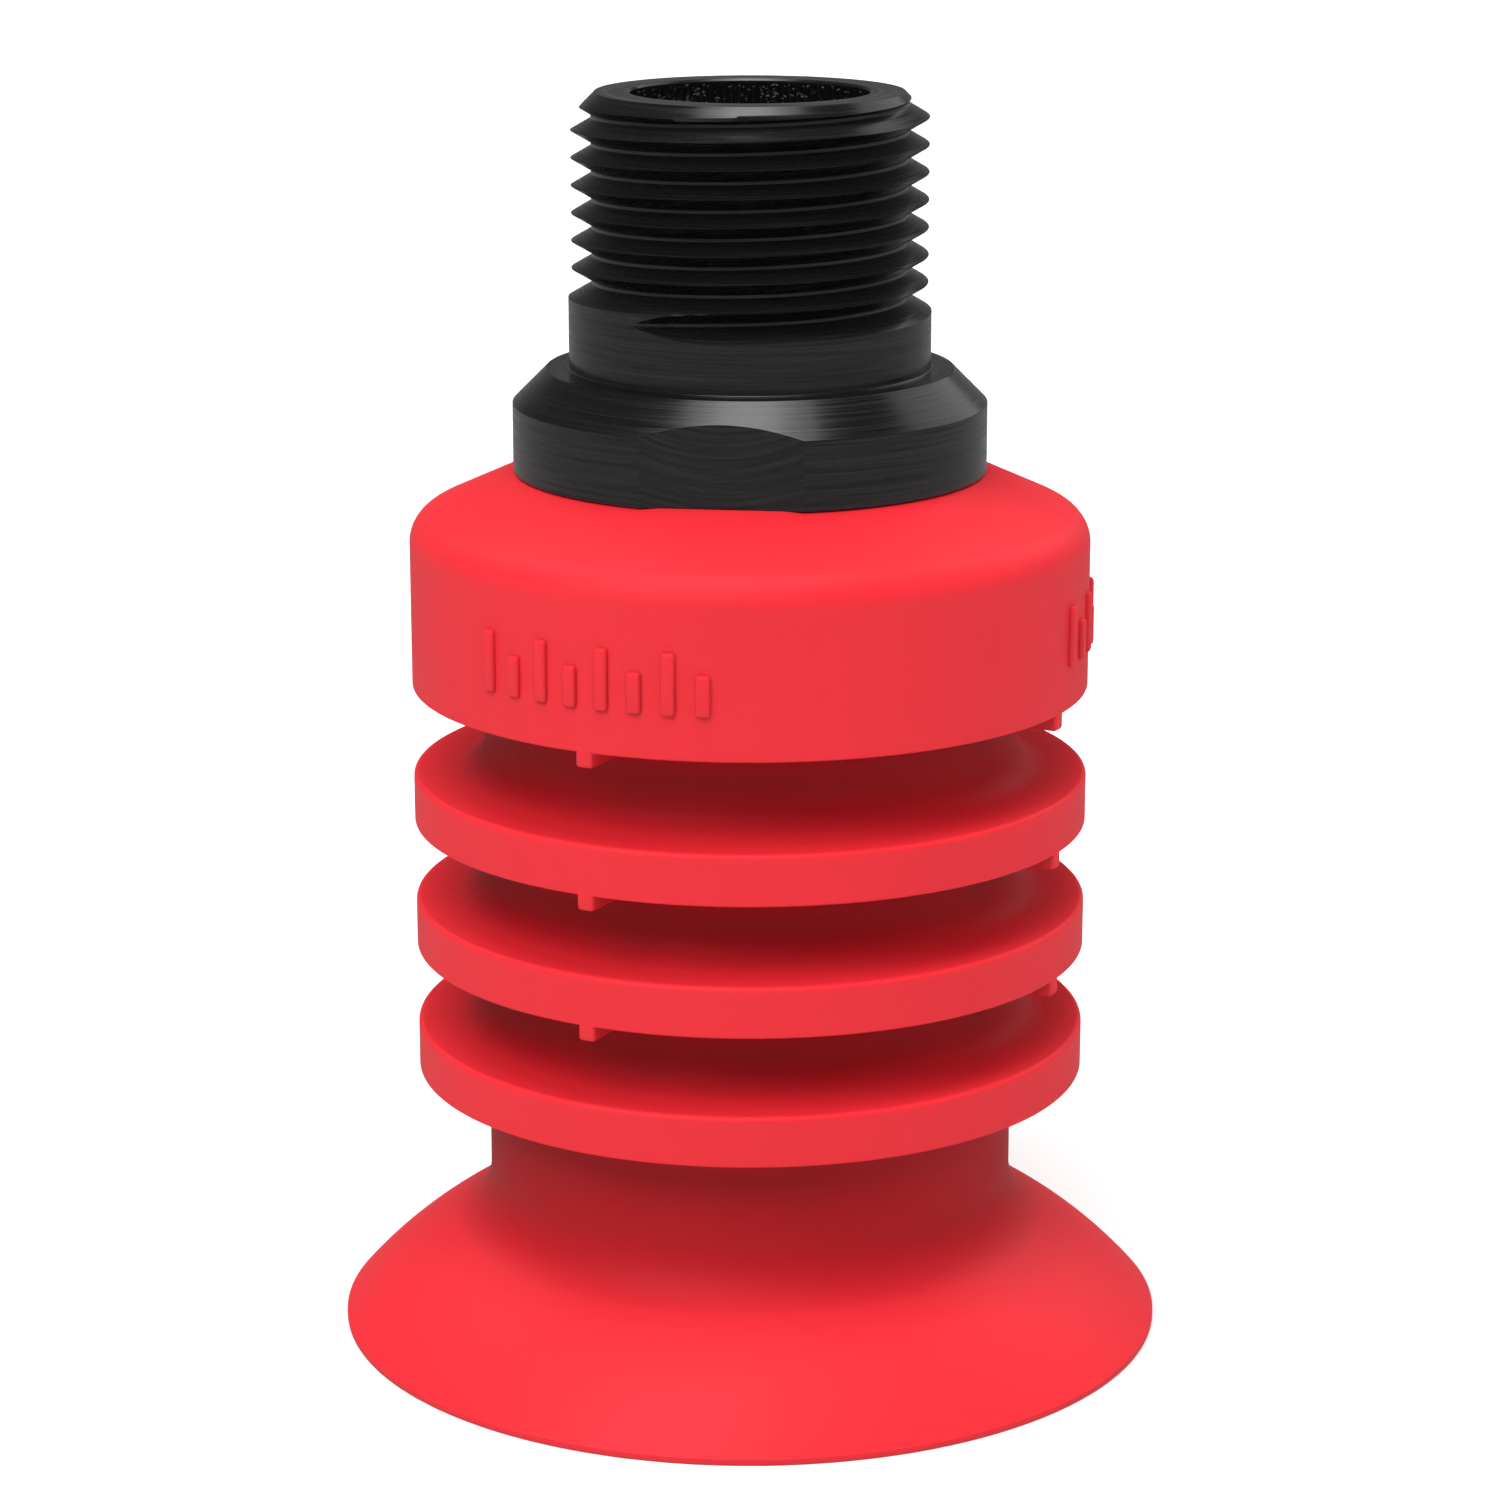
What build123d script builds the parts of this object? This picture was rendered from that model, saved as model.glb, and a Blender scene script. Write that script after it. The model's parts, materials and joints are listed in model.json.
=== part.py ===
from build123d import *
from math import cos, radians, sin, tan
import os

# Bellows vacuum suction cup on a male-threaded fitting. Millimetres, +Z up.
# The origin is the centre of the circle on which the lip rests.

# ---- driving dimensions -------------------------------------------------------------

rim_r = 20.2  # collar and fold rims, outside
neck_r = 15.94  # outside of the necks between the rims
wall = 1.6  # silicone wall of the necks
neck_in_r = neck_r - wall

lip_r = 24.98
lip_edge = 0.38  # height of the upright edge at the bottom of the lip
lip_land = 1.1  # width of the flat sealing face
bell_top_z = 9.67  # where the neck starts to flare
bell_hollow_r = 3.9  # concave radius between neck and skirt
bell_turn = 56.1  # slope of the skirt from upright, in degrees, below the concave radius
bell_straight = 2.4  # straight run of the skirt before it curls down to the lip

fold_z = (31.58, 23.84, 16.13)  # undersides of the three fold rims, top to bottom
fold_t = 3.03
fold_round = 0.3  # fillet on the upper outer edge of a fold
groove_r = 17.9  # bottom of the groove inside each fold
groove_mouth_h = 1.2  # height of that groove at its mouth
groove_floor_h = 0.4  # and at its bottom

collar_z = 39.93
collar_round = 2.0  # radius between the collar's side and its cone
collar_cone = 25.2  # slope of the cone from level, in degrees
collar_roof_z = 45.2  # ceiling of the space inside the collar
roof_bevel = 1.2

flange_r = 14.0
flange_z = 52.75
flange_chamfer_z = 56.8
flange_top_z = 58.8
flange_flat = 13.2  # axis to wrench flat
flat_azimuth = -7.0  # direction of the wrench flats from the front, in degrees
barb_r = 11.5
barb_z = (46.4, 48.9)
barb_lead = 1.5  # lead-in chamfer under the barb
spigot_r = 9.0  # groove between flange and barb, which the collar's inner lip fills
bore_r = 6.98
shank_r = 10.65
shank_top_z = 63.3
top_z = 74.9
mouth_r = 9.03  # outer radius of the flat face around the mouth

crest_r = 10.45
root_r = 9.27
pitch = 1.6
crest_flat = 0.15
flank = 27.5  # half the angle between the flanks, in degrees
thread_end_z = 62.64  # height of the groove where the tool left it
thread_end_angle = -98.5  # its direction from +X, in degrees

nub_w = 1.1
nub_h = 0.9
nub_in_r = 17.2
nub_azimuths = (-27.5, 62.5, 152.5, 242.5)  # from the front, in degrees

mark_proud = 0.3
mark_z = (42.5, 46.1)
mark_short = 1.2  # how much lower every other bar is
mark_bars = 8
mark_step = 5.6  # from one bar to the next, in degrees
mark_width = 2.4  # of a bar, in degrees
mark_front_azimuth = -47.8  # where the front row starts, in degrees from the front
mark_side_azimuth = 66.0

filter_z = 74.4  # underside of the filter, just below the mouth of the bore
filter_t = 0.35
filter_ring_w = 0.55
filter_ring_h = 0.75

hinge_ring_z = (12.85, 13.4)  # narrow ring about the two tilt axes, which cross at height 13
lip_neck_top_z = 10.5

os.makedirs("parts", exist_ok=True)


def finish(piece, name):
    """Label a finished piece and write its STEP file."""
    piece.part.label = name
    export_step(piece.part, f"parts/{name}.step")


def azimuth_plane(azimuth):
    """Upright plane through the axis, its x pointing out at this azimuth from the front."""
    a = radians(azimuth - 90)
    return Plane(origin=(0, 0, 0), x_dir=(cos(a), sin(a), 0), z_dir=(sin(a), -cos(a), 0))


def tube(name, inner, outer, low, high):
    """A plain ring or tube of revolution."""
    with BuildPart() as ring:
        with BuildSketch(Plane.XY.offset(low)):
            Circle(outer)
            Circle(inner, mode=Mode.SUBTRACT)
        extrude(amount=high - low)
    finish(ring, name)


# ---- collar: thick top of the moulding, with the inner lip that grips the fitting ---

cone_rise = (rim_r - flange_r) * tan(radians(collar_cone))
cone_foot_z = flange_z - cone_rise

with BuildPart() as collar:
    with BuildSketch(Plane.XZ) as collar_section:
        with BuildLine():
            Polyline(
                (neck_in_r, collar_z),
                (rim_r, collar_z),
                (rim_r, cone_foot_z),
                (flange_r, flange_z),
                (spigot_r, flange_z),
                (spigot_r, barb_z[1]),
                (barb_r, barb_z[1]),
                (barb_r, collar_roof_z),
                (neck_in_r - roof_bevel, collar_roof_z),
                (neck_in_r, collar_roof_z - roof_bevel),
                close=True,
            )
        make_face()
        shoulder = collar_section.vertices().group_by(Axis.X)[-1].sort_by(Axis.Y)[-1]
        fillet(shoulder, radius=collar_round)
    revolve(axis=Axis.Z)
finish(collar, "collar")


# ---- fold rims: flat rings, each with a groove inside that lets it flex --------------

fold_names = ("fold_1", "fold_2", "fold_3")
for name, low in zip(fold_names, fold_z):
    middle = low + fold_t / 2
    with BuildPart() as fold:
        with BuildSketch(Plane.XZ) as fold_section:
            with BuildLine():
                Polyline(
                    (neck_in_r, low),
                    (rim_r, low),
                    (rim_r, low + fold_t),
                    (neck_in_r, low + fold_t),
                    (neck_in_r, middle + groove_mouth_h / 2),
                    (groove_r, middle + groove_floor_h / 2),
                    (groove_r, middle - groove_floor_h / 2),
                    (neck_in_r, middle - groove_mouth_h / 2),
                    close=True,
                )
            make_face()
            fillet(fold_section.vertices().group_by(Axis.X)[-1].sort_by(Axis.Y)[-1], radius=fold_round)
        revolve(axis=Axis.Z)
    finish(fold, name)

# ---- webs: the thin necks that fold up when the bellows shortens ---------------------

web_tops = (collar_z, fold_z[0], fold_z[1])
for number, (fold_low, web_top) in enumerate(zip(fold_z, web_tops), start=1):
    tube(f"web_{number}", neck_in_r, neck_r, fold_low + fold_t, web_top)

# ---- lower neck: two flexing stretches with a narrow ring between them ---------------

tube("neck_web_upper", neck_in_r, neck_r, hinge_ring_z[1], fold_z[2])
tube("neck_ring", neck_in_r, neck_r, *hinge_ring_z)
tube("neck_web_lower", neck_in_r, neck_r, lip_neck_top_z, hinge_ring_z[0])

# ---- lip: a flared skirt that ends in a flat sealing face -----------------------------

turn = radians(bell_turn)
hollow_centre = (neck_r + bell_hollow_r, bell_top_z)
skirt_slope = (sin(turn), -cos(turn))


def on_hollow(radius, angle):
    """Point on a circle about the centre of the concave radius, angle measured down from level."""
    return (hollow_centre[0] - radius * cos(angle), hollow_centre[1] - radius * sin(angle))


def along_slope(point, distance):
    return (point[0] + distance * skirt_slope[0], point[1] + distance * skirt_slope[1])


outer_hollow = bell_hollow_r
inner_hollow = bell_hollow_r + wall
outer_foot = on_hollow(outer_hollow, turn)
inner_foot = on_hollow(inner_hollow, turn)
outer_straight_end = along_slope(outer_foot, bell_straight)
inner_straight_end = along_slope(inner_foot, bell_straight / 2)

with BuildPart() as lip_skirt:
    with BuildSketch(Plane.XZ):
        with BuildLine():
            Line((neck_in_r, lip_neck_top_z), (neck_r, lip_neck_top_z))
            Line((neck_r, lip_neck_top_z), (neck_r, bell_top_z))
            ThreePointArc((neck_r, bell_top_z), on_hollow(outer_hollow, turn / 2), outer_foot)
            Line(outer_foot, outer_straight_end)
            TangentArc(outer_straight_end, (lip_r, lip_edge), tangent=skirt_slope)
            Line((lip_r, lip_edge), (lip_r, 0))
            Line((lip_r, 0), (lip_r - lip_land, 0))
            TangentArc(inner_straight_end, (lip_r - lip_land, 0), tangent=skirt_slope)
            Line(inner_foot, inner_straight_end)
            ThreePointArc((neck_in_r, bell_top_z), on_hollow(inner_hollow, turn / 2), inner_foot)
            Line((neck_in_r, bell_top_z), (neck_in_r, lip_neck_top_z))
        make_face()
    revolve(axis=Axis.Z)
finish(lip_skirt, "lip_skirt")

# ---- spacer nubs: four small feet under the collar and under the upper two folds ------


def nub_group(name, underside):
    """Four nubs hanging from a rim, their outer faces flush with it."""
    with BuildPart() as nubs:
        with BuildSketch(Plane.XY.offset(underside)):
            for azimuth in nub_azimuths:
                with Locations(Rotation(0, 0, azimuth - 90)):
                    with Locations((nub_in_r, 0)):
                        Rectangle(rim_r, nub_w, align=(Align.MIN, Align.CENTER))
            Circle(rim_r, mode=Mode.INTERSECT)
        extrude(amount=-nub_h)
    finish(nubs, name)


for name, underside in zip(("nubs_collar", "nubs_fold_1", "nubs_fold_2"), web_tops):
    nub_group(name, underside)

# ---- raised marks: plain moulded bars on the collar's side ----------------------------


def bar_row(name, start_azimuth):
    """Upright bars around the collar, every other one shorter."""
    low, high = mark_z
    with BuildPart() as row:
        for count in range(mark_bars):
            top = high if count % 2 == 0 else high - mark_short
            with BuildSketch(azimuth_plane(start_azimuth + count * mark_step)):
                with Locations((rim_r, low)):
                    Rectangle(mark_proud, top - low, align=Align.MIN)
            revolve(axis=Axis.Z, revolution_arc=mark_width)
    finish(row, name)


bar_row("raised_bars_front", mark_front_azimuth)
bar_row("raised_bars_side", mark_side_azimuth)

# ---- fitting: turned body with flange, wrench flats, male thread and air bore ---------

open_half = (pitch - crest_flat) / 2
root_half = open_half - (crest_r - root_r) * tan(radians(flank))
groove_clear = 0.5  # how far the groove's tool shape stands out past the crests
lead_out = 8.0  # length of the straight run where the tool leaves the groove

with BuildSketch(Plane.XZ) as groove_section:
    with BuildLine():
        Polyline(
            (root_r, thread_end_z - root_half),
            (crest_r, thread_end_z - open_half),
            (crest_r + groove_clear, thread_end_z - open_half),
            (crest_r + groove_clear, thread_end_z + open_half),
            (crest_r, thread_end_z + open_half),
            (root_r, thread_end_z + root_half),
            close=True,
        )
    make_face()

with BuildPart() as thread_groove:
    with BuildLine() as thread_path:
        Helix(pitch=pitch, height=top_z + pitch - thread_end_z, radius=root_r, center=(0, 0, thread_end_z))
    sweep(groove_section.sketch, path=thread_path.line, is_frenet=True)

# straight lead-out at the groove's lower end
with BuildPart() as thread_lead_out:
    extrude(groove_section.sketch, amount=lead_out, dir=-(thread_path.line % 0))

with BuildPart() as fitting:
    with BuildSketch(Plane.XZ):
        with BuildLine():
            Polyline(
                (bore_r, barb_z[0]),
                (barb_r - barb_lead, barb_z[0]),
                (barb_r, barb_z[0] + barb_lead),
                (barb_r, barb_z[1]),
                (spigot_r, barb_z[1]),
                (spigot_r, flange_z),
                (flange_r, flange_z),
                (flange_r, flange_chamfer_z),
                (flange_r - (flange_top_z - flange_chamfer_z), flange_top_z),
                (shank_r, flange_top_z),
                (shank_r, shank_top_z - (shank_r - crest_r)),
                (crest_r, shank_top_z),
                (crest_r, top_z - (crest_r - mouth_r)),
                (mouth_r, top_z),
                (bore_r, top_z),
                close=True,
            )
        make_face()
    revolve(axis=Axis.Z)

    # wrench flats
    with BuildSketch(Plane.XY.offset(flange_z)):
        for side in (flat_azimuth, flat_azimuth + 180):
            with Locations(Rotation(0, 0, side - 90)):
                with Locations((flange_flat, 0)):
                    Rectangle(flange_r, 2 * flange_r, align=(Align.MIN, Align.CENTER))
    extrude(amount=flange_top_z - flange_z, mode=Mode.SUBTRACT)

    for groove in (thread_groove, thread_lead_out):
        add(groove.part, rotation=(0, 0, thread_end_angle), mode=Mode.SUBTRACT)
finish(fitting, "fitting")

# ---- filter: a disc across the bore, on a thin ring that is pressed in ------------------

with BuildPart() as mesh_filter:
    with BuildSketch(Plane.XY.offset(filter_z)):
        Circle(bore_r)
    extrude(amount=filter_t)
finish(mesh_filter, "mesh_filter")

tube("filter_ring", bore_r - filter_ring_w, bore_r, filter_z - filter_ring_h, filter_z)
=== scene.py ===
import json
import math

import bmesh
import bpy
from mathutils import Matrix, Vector


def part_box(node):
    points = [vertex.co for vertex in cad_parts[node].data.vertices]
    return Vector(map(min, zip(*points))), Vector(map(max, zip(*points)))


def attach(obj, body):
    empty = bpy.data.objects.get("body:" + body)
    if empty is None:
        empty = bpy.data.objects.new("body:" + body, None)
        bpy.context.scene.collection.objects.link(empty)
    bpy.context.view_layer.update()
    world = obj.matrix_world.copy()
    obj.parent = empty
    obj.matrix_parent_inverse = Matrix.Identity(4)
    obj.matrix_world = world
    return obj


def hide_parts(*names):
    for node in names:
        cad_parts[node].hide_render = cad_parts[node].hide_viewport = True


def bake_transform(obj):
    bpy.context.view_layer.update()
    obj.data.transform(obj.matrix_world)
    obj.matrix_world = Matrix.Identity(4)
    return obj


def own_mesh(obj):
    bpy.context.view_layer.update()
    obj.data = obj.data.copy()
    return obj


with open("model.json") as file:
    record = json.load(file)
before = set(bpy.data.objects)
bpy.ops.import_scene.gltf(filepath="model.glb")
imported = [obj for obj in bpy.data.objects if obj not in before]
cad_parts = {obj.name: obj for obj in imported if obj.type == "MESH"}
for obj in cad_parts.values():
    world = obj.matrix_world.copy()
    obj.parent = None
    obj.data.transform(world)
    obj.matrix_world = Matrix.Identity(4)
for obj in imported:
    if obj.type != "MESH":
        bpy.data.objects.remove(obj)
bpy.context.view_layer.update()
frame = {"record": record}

MM = 0.001
COLUMNS = 192  # facets around every turned or moulded ring
CREASE = math.radians(38)  # edges sharper than this are shaded as edges
SAME_POINT = 1e-4  # points nearer to each other than this, in millimetres, are merged
NO_LENGTH = 1e-5  # edges shorter than this, in millimetres, are taken out

# ---- sizes read from the frame, in millimetres ----------------------------------------


def cad_box(node):
    low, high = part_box(node)
    return low / MM, high / MM


def mount(name):
    return next(m for m in frame["record"]["mounts"] if m["name"] == name)


collar_low, collar_high = cad_box("collar")
fitting_low, fitting_high = cad_box("fitting")
filter_low, filter_high = cad_box("mesh_filter")
ring_low, ring_high = cad_box("filter_ring")

RIM_R = collar_high.x
NECK_R = cad_box("web_1")[1].x
LIP_R = cad_box("lip_skirt")[1].x
COLLAR_Z = collar_low.z
NECK_TOP_Z = cad_box("neck_web_upper")[1].z
FLANGE_Z = collar_high.z
FLANGE_R = fitting_high.x
FLANGE_TOP_Z = mount("flange_face")["pos_m"][2] / MM
SHANK_R = mount("washer_seat")["dims"]["r_mm"]
CREST_R = mount("male_thread")["dims"]["r_mm"]
TOP_Z = fitting_high.z
BARB_Z = fitting_low.z
BORE_R = ring_high.x

# ---- mesh helpers -----------------------------------------------------------------------


def make_object(name, bm):
    """A smooth-shaded object from a bmesh in millimetres, doubled points merged and faces turned outward."""
    bmesh.ops.remove_doubles(bm, verts=bm.verts, dist=SAME_POINT)
    bmesh.ops.dissolve_degenerate(bm, edges=bm.edges, dist=NO_LENGTH)
    bmesh.ops.recalc_face_normals(bm, faces=bm.faces)
    bmesh.ops.scale(bm, vec=(MM, MM, MM), verts=bm.verts)
    mesh = bpy.data.meshes.new(name)
    bm.to_mesh(mesh)
    bm.free()
    mesh.shade_smooth()
    mesh.set_sharp_from_angle(angle=CREASE)
    obj = bpy.data.objects.new(name, mesh)
    bpy.context.scene.collection.objects.link(obj)
    return obj


def levels(low, high, count):
    """Evenly spaced values from low to high, both included."""
    return [low + (high - low) * k / count for k in range(count + 1)]


def from_front(azimuth):
    """Angle from +X, in radians, of an azimuth in degrees from the front."""
    return math.radians(azimuth - 90)


def arc(centre, radius, start, end, steps):
    """Points of an arc in the (r, z) plane, angles in degrees."""
    angles = [math.radians(angle) for angle in levels(start, end, steps)]
    return [(centre[0] + radius * math.cos(a), centre[1] + radius * math.sin(a)) for a in angles]


def tangent_arc(start, direction, end, steps):
    """Points of the arc that leaves start along direction and reaches end, without its first point."""
    start = Vector(start)
    direction = Vector(direction).normalized()
    chord = Vector(end) - start
    side = Vector((-direction.y, direction.x))
    radius = chord.length_squared / (2 * chord.dot(side))
    centre = start + side * radius
    swing = 2 * math.atan2(chord.dot(side), chord.dot(direction))
    points = []
    for turn in levels(0, swing, steps)[1:]:
        spoke = direction * math.sin(turn) - side * math.cos(turn)
        points.append(tuple(centre + spoke * radius))
    return points


def straight(start, end, steps):
    """Points of a straight run from start to end, without its first point."""
    return [tuple(Vector(start).lerp(end, share)) for share in levels(0, 1, steps)[1:]]


def rounded(corners, steps=5, ease=0.06):
    """A closed outline from (r, z, fillet radius) corners.

    Each fillet lies between two easing points, which keep the faces beside it flat.
    """
    points = []
    for k, (r, z, radius) in enumerate(corners):
        here = Vector((r, z))
        if not radius:
            points.append(here)
            continue
        back = Vector(corners[k - 1][:2]) - here
        ahead = Vector(corners[(k + 1) % len(corners)][:2]) - here
        reach = radius / math.tan(back.angle(ahead) / 2)
        first = here + back.normalized() * reach
        last = here + ahead.normalized() * reach
        middle = (back.normalized() + ahead.normalized()).normalized()
        centre = here + middle * math.hypot(radius, reach)
        points.append(first + back.normalized() * min(ease, (back.length - reach) / 4))
        for share in levels(0, 1, steps):
            spoke = first.lerp(last, share) - centre
            points.append(centre + spoke.normalized() * radius)
        points.append(last + ahead.normalized() * min(ease, (ahead.length - reach) / 4))
    return [tuple(p) for p in points]


def turned(outline, angle):
    """An outline of (r, z) points placed in space at this angle from +X, in radians."""
    return [(r * math.cos(angle), r * math.sin(angle), z) for r, z in outline]


def lathe(name, outline):
    """A closed ring from a closed outline of (r, z) points."""
    bm = bmesh.new()
    columns = []
    for k in range(COLUMNS):
        points = turned(outline, 2 * math.pi * k / COLUMNS)
        columns.append([bm.verts.new(p) for p in points])
    for here, there in zip(columns, columns[1:] + columns[:1]):
        for k in range(len(outline)):
            n = (k + 1) % len(outline)
            bm.faces.new((here[k], here[n], there[n], there[k]))
    return make_object(name, bm)


BLOCK_EDGE = 0.2  # largest radius of a block's edges
BLOCK_CORNER = 1.0  # edges that turn by more than this, in radians, are rounded


def close_block(bm, layers):
    """Faces of a block from its top and bottom grids of vertices, with its edges rounded."""
    top, bottom = layers
    rows, across = len(top), len(top[0])
    for a in range(rows - 1):
        for b in range(across - 1):
            bm.faces.new((top[a][b], top[a + 1][b], top[a + 1][b + 1], top[a][b + 1]))
            bm.faces.new((bottom[a][b], bottom[a][b + 1], bottom[a + 1][b + 1], bottom[a + 1][b]))
    border = [(a, 0) for a in range(rows)]
    border += [(rows - 1, b) for b in range(1, across)]
    border += [(a, across - 1) for a in range(rows - 2, -1, -1)]
    border += [(0, b) for b in range(across - 2, 0, -1)]
    for (a, b), (c, d) in zip(border, border[1:] + border[:1]):
        bm.faces.new((top[a][b], bottom[a][b], bottom[c][d], top[c][d]))

    block = [v for grid in layers for row in grid for v in row]
    faces = dict.fromkeys(f for v in block for f in v.link_faces)
    bmesh.ops.recalc_face_normals(bm, faces=list(faces))
    edges = dict.fromkeys(e for v in block for e in v.link_edges)
    bmesh.ops.bevel(
        bm,
        geom=[e for e in edges if e.calc_face_angle(0) > BLOCK_CORNER],
        offset=BLOCK_EDGE,
        segments=3,
        profile=0.5,
        affect="EDGES",
        clamp_overlap=True,
    )


# ---- silicone moulding: collar and folds ------------------------------------------------

SPIGOT_R = 9.0
BARB_R = 11.5
BARB_TOP_Z = 48.9
COLLAR_ROOF_Z = 45.2
ROOF_BEVEL = 1.2
ROOF_FILLETS = (0.3, 0.5)
COLLAR_ROUND = 2.0
COLLAR_ARC_STEPS = 8
CONE_SLOPE = 0.455  # rise of the collar's cone for each millimetre towards the axis
CONE_GAP = 0.1  # height of the gap between the cone and the flange's edge
CONE_IN_R = 13.66  # the cone shows this far in, beside the wrench flats
COLLAR_IN_R = 13.15  # and a flat ring inside it, up to the middle of the flats
RIM_EDGE = 0.12
NECK_WALL = 1.6
NECK_IN_R = NECK_R - NECK_WALL
cone_foot_z = FLANGE_Z - CONE_GAP - (RIM_R - FLANGE_R) * CONE_SLOPE
cone_top_z = FLANGE_Z - CONE_GAP + (FLANGE_R - CONE_IN_R) * CONE_SLOPE

collar = lathe(
    "collar_shell",
    rounded(
        [
            (NECK_IN_R, COLLAR_Z, 0),
            (RIM_R, COLLAR_Z, RIM_EDGE),
            (RIM_R, cone_foot_z, COLLAR_ROUND),
            (CONE_IN_R, cone_top_z, 0),
            (COLLAR_IN_R, cone_top_z, 0),
            (COLLAR_IN_R, FLANGE_Z, 0),
            (SPIGOT_R, FLANGE_Z, 0),
            (SPIGOT_R, BARB_TOP_Z, 0),
            (BARB_R, BARB_TOP_Z, 0),
            (BARB_R, COLLAR_ROOF_Z, 0),
            (NECK_IN_R - ROOF_BEVEL, COLLAR_ROOF_Z, ROOF_FILLETS[0]),
            (NECK_IN_R, COLLAR_ROOF_Z - ROOF_BEVEL, ROOF_FILLETS[1]),
        ],
        steps=COLLAR_ARC_STEPS,
    ),
)

GROOVE_R = 17.9  # the groove inside a fold reaches out to this radius
GROOVE_MOUTH = 1.2
GROOVE_FLOOR = 0.5
GROOVE_EDGE = 0.2
FOLD_TOP_EDGE = 0.3
FOLD_IN_EDGE = 0.1


def fold_outline(low, high):
    """A fold's rim from low to high, with a groove from the inside."""
    middle = (low + high) / 2
    return rounded(
        [
            (NECK_IN_R, low, FOLD_IN_EDGE),
            (RIM_R, low, RIM_EDGE),
            (RIM_R, high, FOLD_TOP_EDGE),
            (NECK_IN_R, high, FOLD_IN_EDGE),
            (NECK_IN_R, middle + GROOVE_MOUTH / 2, GROOVE_EDGE),
            (GROOVE_R, middle + GROOVE_FLOOR / 2, GROOVE_EDGE),
            (GROOVE_R, middle - GROOVE_FLOOR / 2, GROOVE_EDGE),
            (NECK_IN_R, middle - GROOVE_MOUTH / 2, GROOVE_EDGE),
        ]
    )


folds = {}
for name in ("fold_1", "fold_2", "fold_3"):
    low, high = cad_box(name)
    folds[name] = lathe(f"{name}_rim", fold_outline(low.z, high.z))

# ---- silicone moulding: webs between the rims -------------------------------------------

WEB_FILLET = 2.0
WEB_LAP = 0.05  # how far a web reaches into its neighbours
WEB_ARC_STEPS = 8
WEB_OUTER_STEPS = 4
WEB_INNER_STEPS = 12
FOOTLESS_STEPS = 10  # steps of a web's outer wall when it has no foot


def web_outline(low, high, foot):
    """A thin wall from low to high that flares out to the rim above and, with a foot, to the rim below."""
    flare = NECK_R + WEB_FILLET
    outer = arc((flare, high - WEB_FILLET), WEB_FILLET, 90, 180, WEB_ARC_STEPS)
    top = [(NECK_IN_R, high + WEB_LAP), (flare, high + WEB_LAP)]
    if foot:
        heights = levels(high - WEB_FILLET, low + WEB_FILLET, WEB_OUTER_STEPS)[1:-1]
        outer += [(NECK_R, z) for z in heights]
        outer += arc((flare, low + WEB_FILLET), WEB_FILLET, 180, 270, WEB_ARC_STEPS)
        bottom = [(flare, low - WEB_LAP), (NECK_IN_R, low - WEB_LAP)]
    else:
        outer += [(NECK_R, z) for z in levels(high - WEB_FILLET, low, FOOTLESS_STEPS)[1:]]
        bottom = []
    inner = [(NECK_IN_R, z) for z in levels(low, high, WEB_INNER_STEPS)]
    return top + outer + bottom + inner


webs = {}
for name in ("web_1", "web_2", "web_3"):
    low, high = cad_box(name)
    webs[name] = lathe(f"{name}_wall", web_outline(low.z, high.z, foot=True))

# ---- silicone moulding: lower neck and lip ------------------------------------------------

NECK_SPLIT_Z = 12.7  # where the neck's two bending stretches meet
NECK_FOOT_Z = 9.2  # where the neck meets the skirt
NECK_STEPS = 14
HOLLOW_R = 3.9  # radius of the concave turn from the neck to the skirt
HOLLOW_IN_R = HOLLOW_R + NECK_WALL
HOLLOW_Z = 9.67
SKIRT_TURN = 56.1  # slope of the skirt from upright, in degrees
SKIRT_STRAIGHT = 2.4
SKIRT_ARC_STEPS = 18
OUTER_STRAIGHT_STEPS = 4
INNER_STRAIGHT_STEPS = 3
LIP_EDGE = 0.38  # height at which the skirt's upper side ends
LIP_LAND = 1.1  # width of the flat ring that the cup stands on
LIP_EDGE_R = 0.08
LIP_EDGE_STEPS = 3

hollow_centre = (NECK_R + HOLLOW_R, HOLLOW_Z)
skirt_slope = Vector((math.sin(math.radians(SKIRT_TURN)), -math.cos(math.radians(SKIRT_TURN))))


def neck_radius(z, radius):
    """Radius of the wall at this height. Below the straight neck it follows the concave arc."""
    drop = max(0.0, HOLLOW_Z - z)
    return hollow_centre[0] - math.sqrt(radius * radius - drop * drop)


def neck_wall(radius, start, end):
    """Points up or down one side of the lower neck's wall."""
    return [(neck_radius(z, radius), z) for z in levels(start, end, NECK_STEPS)]


def skirt_side(radius, straight_length, straight_steps, end):
    """One side of the skirt: the concave arc, a straight run, and the arc out to the lip."""
    start = 180 + math.degrees(math.asin((HOLLOW_Z - NECK_FOOT_Z) / radius))
    points = arc(hollow_centre, radius, start, 180 + SKIRT_TURN, NECK_STEPS)
    straight_end = Vector(points[-1]) + skirt_slope * straight_length
    points += straight(points[-1], straight_end, straight_steps)
    return points + tangent_arc(straight_end, skirt_slope, end, SKIRT_ARC_STEPS)


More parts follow.
